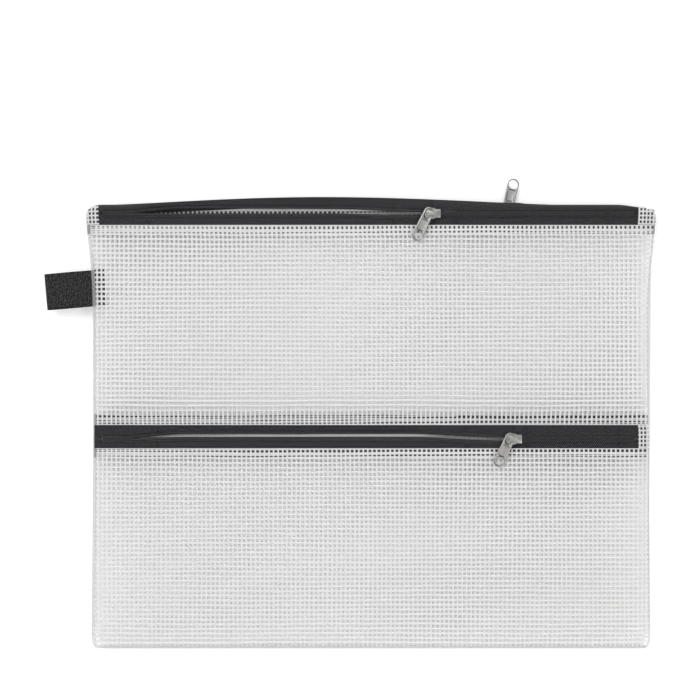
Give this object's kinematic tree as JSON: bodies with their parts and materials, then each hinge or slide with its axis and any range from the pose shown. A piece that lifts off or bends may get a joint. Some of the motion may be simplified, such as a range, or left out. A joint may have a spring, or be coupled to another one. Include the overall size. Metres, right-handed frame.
{
  "type": "document wallet",
  "caption": "Wide clear mesh document wallet with two zipped front pockets, a zipped full-size back pocket, metal sliders with swinging pulls and a ribbon loop on its side.",
  "frame": {"origin": "on the back face that the wallet lies on, at the middle of the face", "axes": "+X along the zips towards their closed ends, +Y towards the top edge, +Z out of the front face"},
  "size_m": [0.3684, 0.2828, 0.0193],
  "materials": {
    "mesh_film": "clear soft film with a white woven grid inside",
    "zip_tape": "black woven polyester tape",
    "zip_coil": "black nylon coil",
    "ribbon": "black ribbed ribbon",
    "slider_metal": "satin nickel plate, a little worn"
  },
  "bodies": {
    "wallet": {"back_panel": "mesh_film", "divider_panel": "mesh_film", "front_upper_panel": "mesh_film", "front_lower_panel": "mesh_film", "top_zip_lower_tape": "zip_tape", "top_zip_upper_tape": "zip_tape", "mid_zip_lower_tape": "zip_tape", "mid_zip_upper_tape": "zip_tape", "back_zip_lower_tape": "zip_tape", "back_zip_upper_tape": "zip_tape", "top_zip_lower_coil": "zip_coil", "top_zip_upper_coil": "zip_coil", "mid_zip_lower_coil": "zip_coil", "mid_zip_upper_coil": "zip_coil", "back_zip_lower_coil": "zip_coil", "back_zip_upper_coil": "zip_coil", "zip_end_cover_top_left": "mesh_film", "zip_end_cover_top_right": "mesh_film", "zip_end_cover_mid_right": "mesh_film", "ribbon_loop": "ribbon"},
    "top_slider": {"top_slider_body": "slider_metal", "top_slider_crown": "slider_metal"},
    "top_pull": {"top_pull_tab": "slider_metal"},
    "mid_slider": {"mid_slider_body": "slider_metal", "mid_slider_crown": "slider_metal"},
    "mid_pull": {"mid_pull_tab": "slider_metal"},
    "back_slider": {"back_slider_body": "slider_metal", "back_slider_crown": "slider_metal"},
    "back_pull": {"back_pull_tab": "slider_metal"}
  },
  "joints": [
    {"name": "top_zip_slide", "type": "slide", "parent": "wallet", "child": "top_slider", "axis": [1, 0, 0], "range_m": [-0.183, 0.109], "deforming": ["top_zip_lower_tape", "top_zip_lower_coil", "top_zip_upper_tape", "top_zip_upper_coil"]},
    {"name": "top_pull_swing", "type": "hinge", "parent": "top_slider", "child": "top_pull", "pos_m": [0.0343, 0.1284, 0.01485], "axis": [0, 0, 1], "range_deg": [-174.2, 45.8]},
    {"name": "mid_zip_slide", "type": "slide", "parent": "wallet", "child": "mid_slider", "axis": [1, 0, 0], "range_m": [-0.2317, 0.0603], "deforming": ["mid_zip_lower_tape", "mid_zip_lower_coil", "mid_zip_upper_tape", "mid_zip_upper_coil"]},
    {"name": "mid_pull_swing", "type": "hinge", "parent": "mid_slider", "child": "mid_pull", "pos_m": [0.083, -0.0069, 0.01485], "axis": [0, 0, 1], "range_deg": [-175.3, 44.7]},
    {"name": "back_zip_slide", "type": "slide", "parent": "wallet", "child": "back_slider", "axis": [1, 0, 0], "range_m": [-0.2308, 0.0612], "deforming": ["back_zip_lower_tape", "back_zip_lower_coil", "back_zip_upper_tape", "back_zip_upper_coil"]},
    {"name": "back_pull_swing", "type": "hinge", "parent": "back_slider", "child": "back_pull", "pos_m": [0.0821, 0.1311, 0.00467], "axis": [0, 0, 1], "range_deg": [-6, 214]}
  ]
}
